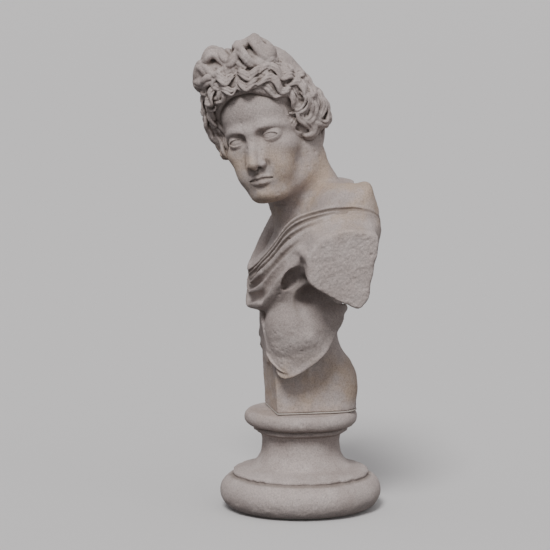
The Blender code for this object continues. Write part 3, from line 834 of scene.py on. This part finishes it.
def model_back_folds(clay):
    """The cloak's collar stands off the nape. Below it the cloth hangs in shallow swags."""
    collar = [(0.138, 0.064, 0.546), (0.126, 0.086, 0.566), (0.098, 0.094, 0.574), (0.06, 0.098, 0.562),
              (0.0, 0.1, 0.548), (-0.06, 0.092, 0.546), (-0.11, 0.072, 0.548), (-0.142, 0.034, 0.54)]
    fold(clay, collar, (0.008, 0.009, 0.0095, 0.009, 0.008, 0.008, 0.009, 0.009), 0.016)
    for k in range(2):
        drop = 0.026 * (k + 1)
        swag = [(0.15, 0.072, 0.552 - drop), (0.115, 0.1 - 0.004 * k, 0.562 - drop * 1.05),
                (0.06, 0.103, 0.546 - drop), (0.0, 0.105, 0.532 - drop * 0.85),
                (-0.06, 0.099, 0.536 - drop * 0.9), (-0.11, 0.08, 0.542 - drop),
                (-0.146, 0.048, 0.532 - drop)]
        fold(clay, swag, (0.006, 0.009, 0.008, 0.006, 0.007, 0.008, 0.006), 0.01)
    fold(clay, [(0.034, 0.078, 0.588), (0.062, 0.08, 0.584), (0.088, 0.084, 0.59)], (0.006, 0.009, 0.006),
         0.004, True)


def model_right_side(clay):
    """Right shoulder under the cloak, and the upper arm cut off short."""
    fold(clay, [(-0.1, 0.04, 0.505), (-0.14, 0.038, 0.492), (-0.152, 0.034, 0.44), (-0.158, 0.03, 0.37)],
         (0.052, 0.05, 0.046, 0.042), 0.02)
    clay.ball((-0.118, 0.036, 0.518), (0.05, 0.048, 0.034), blend=0.02)
    for k in range(3):
        start = (-0.132, -0.004 - 0.004 * k, 0.526 - 0.008 * k)
        swag = [start, (-0.17 - 0.006 * k, 0.004, 0.5 - 0.026 * k),
                (-0.183 - 0.003 * k, 0.04, 0.486 - 0.031 * k), (-0.168, 0.074, 0.5 - 0.028 * k),
                (-0.12, 0.09, 0.524 - 0.022 * k)]
        fold(clay, swag, (0.005, 0.006, 0.006, 0.006, 0.005), 0.01)
    clay.everywhere(lambda x, y, z: z - 0.412 - 0.32 * (x + 0.15) + 0.1 * (y - 0.03), 0.0015, True)


def model_clasp(clay):
    """Round clasp that gathers the cloak on the right shoulder."""
    clay.ball((-0.142, 0.006, 0.53), (0.017, 0.01, 0.017), (-35, 0, -40), 0.003)
    clay.ball((-0.147, 0.001, 0.534), (0.01, 0.0095, 0.01), (-35, 0, -40), 0.001)


def model_shoulders(clay):
    for side in SIDES:
        slope = [(side * 0.045, 0.048, 0.54), (side * 0.095, 0.046, 0.516), (side * 0.128, 0.042, 0.5)]
        fold(clay, slope, (0.034, 0.036, 0.036), 0.03)


MORTAR_GAP = 0.0003  # left free above and below the mortar


def foot_distance(x, y, z):
    return np.minimum(column_distance(x, y, z), tablet_distance(x, y, z))


def make_mortar():
    """Setting mortar that fills the joint between the foot and the socle, and swells out of it a little."""
    clay = Clay((-0.075, -0.066, SOCLE_HIGH.z - 0.002), (0.075, 0.108, BUST_LOW.z + 0.003), MORTAR_STEP)
    joint = (SOCLE_HIGH.z + BUST_LOW.z) / 2

    def bed(x, y, z):
        swell = 0.0012 - 500 * (z - joint) ** 2 + 0.0005 * np.sin(210 * x + 2) * np.sin(170 * y)
        return foot_distance(x, y, np.float32(joint) + 0 * z) - swell

    clay.everywhere(bed)
    clay.everywhere(lambda x, y, z: z - (SOCLE_HIGH.z + MORTAR_GAP), 0, True)
    clay.everywhere(lambda x, y, z: (BUST_LOW.z - MORTAR_GAP) - z, 0, True)
    return clay


def make_body():
    clay = Clay((-0.212, -0.12, 0.168), (0.214, 0.136, 0.625), BODY_STEP)
    model_right_side(clay)
    model_trunk(clay)
    model_shoulders(clay)
    model_sleeve(clay)
    clay.ball((0.126, 0.014, 0.386), (0.056, 0.044, 0.028), (0, 12, 0), 0.01, True)
    model_neck(clay, lambda z: sunk_neck(z - 0.535))
    model_back_folds(clay)
    for side in SIDES:
        clay.ball((side * 0.084, 0.112, 0.42), (0.04, 0.08, 0.082), (8, 0, 0), 0.01, True)
    model_front_folds(clay)
    model_clasp(clay)
    model_column(clay, BUST_LOW.z)
    clay.everywhere(lambda x, y, z: z - BUST_LOW.z, 0, True)
    clay.everywhere(lambda x, y, z: BUST_HIGH.x - x, 0.006, True)
    return clay


# ---- wear, and the cavity mask for the painted shade

OPEN_REACHES = (0.003, 0.007, 0.015)  # how far ahead of the surface a cavity is felt
TORN_DEPTH = 0.004  # how deep the broken end of the left arm reaches


def openness(points, normals, clays):
    """How open the space in front of each point is, from 0 in a deep cavity to 1. It is the mask of the
    painted cavity shade.
    """
    total = np.zeros(len(points))
    for reach in OPEN_REACHES:
        ahead = points + normals * reach
        nearest = np.min([clay.value(frame_of.back(ahead)) for clay, frame_of in clays], axis=0)
        total += np.clip(nearest / reach, 0, 1)
    return total / len(OPEN_REACHES)


def store(mesh, name, values):
    layer = mesh.attributes.new(name, "FLOAT", "POINT")
    layer.data.foreach_set("value", np.clip(values, 0, 1).astype(np.float32))


def pits(co, normals, rng, count, low, high):
    """Chips and pits in old stone, between two radii. Each pushes the surface round it inwards."""
    moved = np.zeros(len(co))
    spots = co[rng.choice(len(co), count)]
    for spot in spots:
        radius = rng.uniform(low, high)
        near = np.flatnonzero(np.abs(co - spot).max(1) < radius * 1.3)
        stretch = rng.uniform(0.7, 1.4, 3)
        away = np.linalg.norm((co[near] - spot) * stretch, axis=1) / radius
        away += 0.25 * noise(co[near], radius * 0.5, 5)
        bowl = np.clip(1 - away * away, 0, 1) * radius * 0.45
        moved[near] = np.maximum(moved[near], bowl)
    return co - normals * moved[:, None]


def weather(piece, seed, grain, pit_count, torn):
    """Worn stone: a soft unevenness all over, pits, and a rough break where torn says so."""
    mesh = piece.data
    co, normals = co_of(mesh), normals_of(mesh)
    rng = np.random.default_rng(seed)
    lift = noise(co, 0.014, seed) * grain * 1.3 + noise(co, 0.005, seed + 1) * grain
    lift += noise(co, 0.0024, seed + 2) * grain * 0.55
    if torn is not None:
        rough = torn(co)
        lift += rough * (noise(co, 0.013, seed + 3) * 0.0006 + noise(co, 0.0045, seed + 4) * 0.0005
                         + noise(co, 0.0022, seed + 5) * 0.0005 - 0.0008)
    co = pits(co + normals * lift[:, None], normals, rng, pit_count, 0.0012, 0.0035)
    mesh.vertices.foreach_set("co", co.astype(np.float32).ravel())
    mesh.update()


# ---- materials

class Paint:
    """A node material that is written line by line."""

    def __init__(self, name):
        self.material = bpy.data.materials.new(name)
        self.material.use_nodes = True
        self.tree = self.material.node_tree
        self.surface = self.tree.nodes["Principled BSDF"]
        self.where = self.add("ShaderNodeTexCoord").outputs["Object"]

    def add(self, kind, settings=None, **inputs):
        node = self.tree.nodes.new(kind)
        for key, value in (settings or {}).items():
            setattr(node, key, value)
        for key, value in inputs.items():
            self.feed(node.inputs[key.replace("_", " ")], value)
        return node

    def feed(self, socket, value):
        if isinstance(value, bpy.types.NodeSocket):
            self.tree.links.new(value, socket)
        else:
            socket.default_value = value

    def cloud(self, size, detail=4.0, rough=0.55):
        """Soft noise from 0 to 1 whose patches are about the given size in metres."""
        made = self.add("ShaderNodeTexNoise", Vector=self.where, Scale=1 / size, Detail=detail,
                        Roughness=rough)
        return made.outputs["Fac"]

    def cells(self, size):
        made = self.add("ShaderNodeTexVoronoi", Vector=self.where, Scale=1 / size, Randomness=1.0)
        return made.outputs["Distance"]

    def attribute(self, name):
        return self.add("ShaderNodeAttribute", {"attribute_name": name}).outputs["Fac"]

    def ramp(self, value, low, high, to_low=0.0, to_high=1.0):
        made = self.add("ShaderNodeMapRange", {"interpolation_type": "SMOOTHSTEP"}, Value=value)
        for key, number in (("From Min", low), ("From Max", high), ("To Min", to_low), ("To Max", to_high)):
            made.inputs[key].default_value = number
        return made.outputs["Result"]

    def sum(self, kind, a, b):
        made = self.add("ShaderNodeMath", {"operation": kind})
        self.feed(made.inputs[0], a)
        self.feed(made.inputs[1], b)
        return made.outputs[0]

    def mix(self, share, a, b, kind="MIX"):
        made = self.add("ShaderNodeMix", {"data_type": "RGBA", "blend_type": kind})
        self.feed(made.inputs[0], share)
        for socket, value in zip((made.inputs[6], made.inputs[7]), (a, b)):
            self.feed(socket, value if isinstance(value, bpy.types.NodeSocket) else (*value, 1.0))
        return made.outputs[2]

    def bump(self, height, strength, distance, under=None):
        made = self.add("ShaderNodeBump", Height=height, Strength=strength, Distance=distance)
        if under is not None:
            self.feed(made.inputs["Normal"], under)
        return made.outputs["Normal"]


def band(paint, height, low, high, soft):
    """1 between two heights, and 0 beyond them."""
    rise = paint.ramp(height, low - soft, low + soft)
    fall = paint.ramp(height, high - soft, high + soft, 1.0, 0.0)
    return paint.sum("MULTIPLY", rise, fall)


def stone(name):
    """Weathered marble: pinkish grey, ochre stains on the neck and the column, painted shade in its cavities.
    """
    paint = Paint(name)
    height = paint.add("ShaderNodeSeparateXYZ", Vector=paint.where).outputs["Z"]
    patches = paint.ramp(paint.cloud(0.09, 5.0), 0.35, 0.7)
    colour = paint.mix(patches, (0.4, 0.335, 0.312), (0.48, 0.41, 0.385))
    colour = paint.mix(paint.ramp(paint.cloud(0.03, 6.0), 0.42, 0.72, 0, 0.55), colour, (0.54, 0.475, 0.45))
    stained = paint.sum("ADD", band(paint, height, 0.515, 0.64, 0.03), band(paint, height, 0.18, 0.27, 0.03))
    patchy = paint.ramp(paint.cloud(0.055, 4.0), 0.38, 0.62)
    share = paint.sum("MULTIPLY", paint.sum("MULTIPLY", stained, patchy), 0.62)
    colour = paint.mix(share, colour, (0.47, 0.345, 0.245))
    spots = paint.ramp(paint.cloud(0.018, 8.0, 0.7), 0.6, 0.72, 0, 0.45)
    colour = paint.mix(spots, colour, (0.3, 0.245, 0.218))
    speckle = paint.ramp(paint.cloud(0.0026, 6.0, 0.8), 0.3, 0.68, 0.7, 1.18)
    colour = paint.mix(1.0, colour, speckle, "MULTIPLY")
    # painted shade: the colour goes dark brown where the space in front is closed in, in cavities and creases
    cavity_shade = paint.ramp(paint.attribute("open"), 0.22, 0.86, 0.72, 0.0)
    colour = paint.mix(cavity_shade, colour, (0.175, 0.14, 0.118))
    holes = paint.ramp(paint.cells(0.0075), 0.05, 0.16, 1.0, 0.0)
    sparse = paint.sum("MULTIPLY", holes, paint.ramp(paint.cloud(0.03, 3.0), 0.5, 0.62))
    colour = paint.mix(paint.sum("MULTIPLY", sparse, 0.55), colour, (0.2, 0.165, 0.14))
    normal = paint.bump(paint.cloud(0.0065, 7.0, 0.7), 0.85, 0.002)
    normal = paint.bump(paint.cloud(0.0016, 4.0, 0.75), 0.6, 0.0006, normal)
    normal = paint.bump(paint.sum("MULTIPLY", sparse, -1.0), 0.7, 0.0012, normal)
    paint.feed(paint.surface.inputs["Base Color"], colour)
    paint.feed(paint.surface.inputs["Roughness"], paint.ramp(paint.cloud(0.012), 0.3, 0.7, 0.74, 0.94))
    paint.feed(paint.surface.inputs["Normal"], normal)
    paint.surface.inputs["Specular IOR Level"].default_value = 0.32
    return paint.material


def metal():
    paint = Paint("zinc_plated_steel")
    spangle = paint.ramp(paint.cells(0.003), 0.2, 0.8)
    shade = paint.mix(spangle, (0.5, 0.52, 0.53), (0.63, 0.64, 0.64))
    paint.feed(paint.surface.inputs["Base Color"], shade)
    paint.feed(paint.surface.inputs["Roughness"], paint.ramp(paint.cloud(0.004), 0.3, 0.7, 0.28, 0.5))
    paint.surface.inputs["Metallic"].default_value = 1.0
    return paint.material


def dull(name, dark, light, size, rough, depth):
    """Plain rough stuff in two shades: mortar, resin, fibre or felt."""
    paint = Paint(name)
    cloud = paint.cloud(size, 6.0, 0.7)
    paint.feed(paint.surface.inputs["Base Color"], paint.mix(paint.ramp(cloud, 0.35, 0.65), dark, light))
    paint.surface.inputs["Roughness"].default_value = rough
    paint.feed(paint.surface.inputs["Normal"], paint.bump(cloud, 0.6, depth))
    return paint.material


# ---- socle

SOCLE_STEPS = 288
SOCLE_SEED = 11
UNDERSIDE_REACH, UNDERSIDE_OPEN = 0.05, 0.4  # inside this radius the stone is half in shade
LONGEST_EDGE = 0.0026
BORE = 0.007
RECESS = (0.03, 0.04)  # radius and top height of the pocket for the nut
CREASES = ((0.149, 0.0028, 0.75), (0.1365, 0.003, 0.6), (0.0602, 0.003, 0.7),
           (0.075, 0.006, 0.25))  # painted shade in the mouldings' creases: height, half-height and depth


def arc(centre, radius, start, end, count):
    turns = np.radians(np.linspace(start, end, count))
    return [(centre[0] + radius * cos(t), centre[1] + radius * sin(t)) for t in turns]


def socle_outline():
    """Radius and height from the top of the bore, down the outside, to the pocket underneath."""
    top, base = SOCLE_HIGH.z, SOCLE_LOW.z
    widest = (SOCLE_HIGH.x - SOCLE_LOW.x) / 2
    collar = arc((0.0855, top - 0.0135), 0.015, 66, -86, 26)
    fillet = [(0.0815, 0.1472), (0.0842, 0.1455), (0.0848, 0.1425), (0.084, 0.1395), (0.08, 0.1378)]
    scotia = spline([(0.0745, 0.1365), (0.0712, 0.1315), (0.0696, 0.124), (0.0692, 0.116), (0.07, 0.107),
                     (0.0722, 0.0985), (0.0772, 0.0895), (0.0838, 0.0822), (0.0915, 0.0772),
                     (0.103, 0.0742)], 34)
    ledge = [(0.113, 0.0712), (0.1185, 0.069), (0.1208, 0.0665), (0.1213, 0.0635), (0.1195, 0.0612)]
    roll = arc((widest - 0.0295, base + 0.0285), 0.0295, 62, -74, 30)
    under = [(0.11, base), (RECESS[0], base), RECESS, (BORE, RECESS[1])]
    flat = [(BORE, top), (0.03, top), (0.06, top), (0.08, top)]
    return [*flat, *collar, *fillet, *scotia, *ledge, *roll, *under]


def make_socle():
    """Turned foot, a little uneven, its edges chipped."""
    outline = array(socle_outline())
    rng = np.random.default_rng(SOCLE_SEED)
    turns = 2 * pi * np.arange(SOCLE_STEPS) / SOCLE_STEPS
    fine = [outline[0]]
    for start, end in zip(outline, outline[1:]):
        pieces = max(1, int(np.ceil(np.linalg.norm(end - start) / LONGEST_EDGE)))
        fine.extend(start + (end - start) * (k + 1) / pieces for k in range(pieces))
    fine = array(fine)
    radius = fine[:, 0][:, None] + 0 * turns
    height = fine[:, 1][:, None] + 0 * turns
    co = np.stack([radius * np.cos(turns), radius * np.sin(turns), height], -1).reshape(-1, 3)
    rows = len(fine)
    faces = []
    for i in range(rows):
        j = (i + 1) % rows
        for k in range(SOCLE_STEPS):
            m = (k + 1) % SOCLE_STEPS
            faces.append((j * SOCLE_STEPS + k, j * SOCLE_STEPS + m, i * SOCLE_STEPS + m, i * SOCLE_STEPS + k))
    mesh = bpy.data.meshes.new("socle_stone")
    mesh.from_pydata(co.tolist(), [], faces)
    bm = bmesh.new()
    bm.from_mesh(mesh)
    bmesh.ops.recalc_face_normals(bm, faces=bm.faces)
    bm.to_mesh(mesh)
    bm.free()
    mesh.shade_smooth()
    normals = normals_of(mesh)
    reach = np.hypot(co[:, 0], co[:, 1])
    outer = np.clip((reach - 0.045) / 0.02, 0, 1) * np.clip((co[:, 2] - SOCLE_LOW.z - 0.004) / 0.006, 0, 1)
    top_free = np.clip((SOCLE_HIGH.z - 0.0015 - co[:, 2]) / 0.003, 0, 1)
    wave = noise(co, 0.045, 31) * 0.0011 + noise(co, 0.016, 32) * 0.0006 + noise(co, 0.006, 33) * 0.00035
    crest = np.exp(-((co[:, 2] - 0.1425) / 0.006) ** 2) + 0.6 * np.exp(-((co[:, 2] - 0.065) / 0.006) ** 2)
    wave -= crest * np.maximum(noise(co, 0.012, 34) - 0.05, 0) * 0.006
    co = co + normals * (wave * outer * top_free - 0.0006 * outer)[:, None]
    worn = pits(co, normals, rng, 110, 0.0012, 0.004)
    co += (worn - co) * (outer * top_free)[:, None]
    mesh.vertices.foreach_set("co", co.astype(np.float32).ravel())
    # painted shade: the mask darkens the mouldings' creases, and inside UNDERSIDE_REACH the stone is half
    # shaded
    creased = np.ones(len(co))
    for level, spread, depth in CREASES:
        creased -= depth * np.exp(-((co[:, 2] - level) / spread) ** 2)
    store(mesh, "open", np.where(reach > UNDERSIDE_REACH, creased, UNDERSIDE_OPEN))
    mesh.update()
    piece = bpy.data.objects.new("socle_stone", mesh)
    bpy.context.scene.collection.objects.link(piece)
    return piece


# ---- stage

CAMERA_PLACE = (3.9265, -0.7632, 0.883)
CAMERA_TURN = (radians(90 - 6.69), 0, radians(79.65))  # tilted 6.69 degrees down
CAMERA_LENS = 149.9
FLOOR_RINGS = [(14, 0.0), (24, 0.05), (34, 0.2), (44, 0.45), (54, 0.8), (66, 1.35)]  # radius and height
FLOOR_SIDES = 96
FAR_CLIP = 200
SKY_LIGHT = 0.5
SUNS = (("key_light", (0.72, -0.3, 0.84), 18, 2.7), ("side_light", (0.9, 0.42, 0.42), 60, 0.45))


def make_stage():
    mesh = bpy.data.meshes.new("floor")
    turns = [2 * pi * k / FLOOR_SIDES for k in range(FLOOR_SIDES)]
    points = [(radius * cos(t), radius * sin(t), height) for radius, height in FLOOR_RINGS for t in turns]
    faces = [tuple(range(FLOOR_SIDES))]
    for i in range(len(FLOOR_RINGS) - 1):
        for k in range(FLOOR_SIDES):
            inner, outer, after = i * FLOOR_SIDES, (i + 1) * FLOOR_SIDES, (k + 1) % FLOOR_SIDES
            faces.append((inner + k, outer + k, outer + after, inner + after))
    mesh.from_pydata(points, [], faces)
    mesh.shade_smooth()
    floor = bpy.data.objects.new("floor", mesh)
    bpy.context.scene.collection.objects.link(floor)
    paint = Paint("pale_floor")
    paint.surface.inputs["Base Color"].default_value = (0.66, 0.645, 0.64, 1.0)
    paint.surface.inputs["Roughness"].default_value = 0.85
    mesh.materials.append(paint.material)
    floor.visible_diffuse = False
    for name, source, spread, energy in SUNS:
        light = bpy.data.objects.new(name, bpy.data.lights.new(name, "SUN"))
        light.data.angle = radians(spread)
        light.data.energy = energy
        light.rotation_euler = Vector(source).to_track_quat("Z", "Y").to_euler()
        bpy.context.scene.collection.objects.link(light)
    world = bpy.data.worlds.new("studio")
    world.use_nodes = True
    tree = world.node_tree
    back = tree.nodes["Background"]
    up = tree.nodes.new("ShaderNodeSeparateXYZ")
    tree.links.new(tree.nodes.new("ShaderNodeTexCoord").outputs["Generated"], up.inputs[0])
    sky = tree.nodes.new("ShaderNodeMapRange")
    tree.links.new(up.outputs["Z"], sky.inputs["Value"])
    for key, number in (("From Min", -0.1), ("From Max", 0.0), ("To Min", 0.1), ("To Max", SKY_LIGHT)):
        sky.inputs[key].default_value = number
    tree.links.new(sky.outputs["Result"], back.inputs["Strength"])
    back.inputs["Color"].default_value = (0.86, 0.85, 0.87, 1.0)
    bpy.context.scene.world = world
    camera = bpy.data.objects.new("camera", bpy.data.cameras.new("camera"))
    camera.location = CAMERA_PLACE
    camera.rotation_euler = CAMERA_TURN
    camera.data.lens = CAMERA_LENS
    camera.data.clip_end = FAR_CLIP
    bpy.context.scene.collection.objects.link(camera)
    bpy.context.scene.camera = camera


# ---- all together

def torn_body(co):
    """The rough break at the end of the left arm."""
    return np.clip((co[:, 0] - (BUST_HIGH.x - 0.006)) / TORN_DEPTH, 0, 1)


def stand_in(piece, node, material):
    """Gives a piece its material and puts it in the place of a CAD node."""
    piece.data.materials.append(material)
    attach(piece, "root")
    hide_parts(node)


def make_all():
    head_clay, hair_clay, body_clay = make_head(), make_hair(), make_body()
    clays = [(head_clay, HERE), (hair_clay, HEAD), (body_clay, HERE)]
    head, hair, body = head_clay.skin("head"), hair_clay.skin("hair"), body_clay.skin("draped_torso")
    turned = Matrix(HEAD.turn.tolist()).to_4x4()
    turned.translation = HEAD.shift
    hair.data.transform(turned)
    marble = stone("weathered_marble")
    mortar = dull("mortar", (0.34, 0.3, 0.27), (0.46, 0.41, 0.37), 0.002, 0.95, 0.0006)
    stand_in(make_mortar().skin("mortar_joint"), "setting_bed", mortar)
    for piece, seed, grain, pit_count, torn in ((head, 3, 0.00012, 110, None), (hair, 13, 0.00022, 90, None),
                                                (body, 23, 0.00034, 300, torn_body)):
        mesh = piece.data
        # the openness is kept as the mask of the painted cavity shade in the stone's colour
        store(mesh, "open", openness(co_of(mesh), normals_of(mesh), clays))
        weather(piece, seed, grain, pit_count, torn)
        stand_in(piece, "bust", marble)
    stand_in(make_socle(), "socle", marble)


def paint_fixings():
    steel = metal()
    fibre = dull("red_fibre", (0.3, 0.09, 0.05), (0.42, 0.15, 0.09), 0.003, 0.8, 0.0003)
    resin = dull("anchor_resin", (0.4, 0.39, 0.34), (0.5, 0.48, 0.42), 0.006, 0.4, 0.0002)
    felt = dull("felt", (0.07, 0.09, 0.07), (0.14, 0.17, 0.14), 0.0012, 1.0, 0.0008)
    finishes = {"anchor_resin": (resin, "anchor_resin"), "fibre_washer": (fibre, "red_fibre"),
                "felt_disc": (felt, "felt")}
    finishes.update({node: (steel, "zinc_steel") for node in ("threaded_rod", "plate_washer", "hex_nut")})
    for node, (finish, slot) in finishes.items():
        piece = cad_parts[node]
        piece.data.materials.clear()
        piece.data.materials.append(finish)


make_all()
paint_fixings()
make_stage()
bpy.context.view_layer.update()
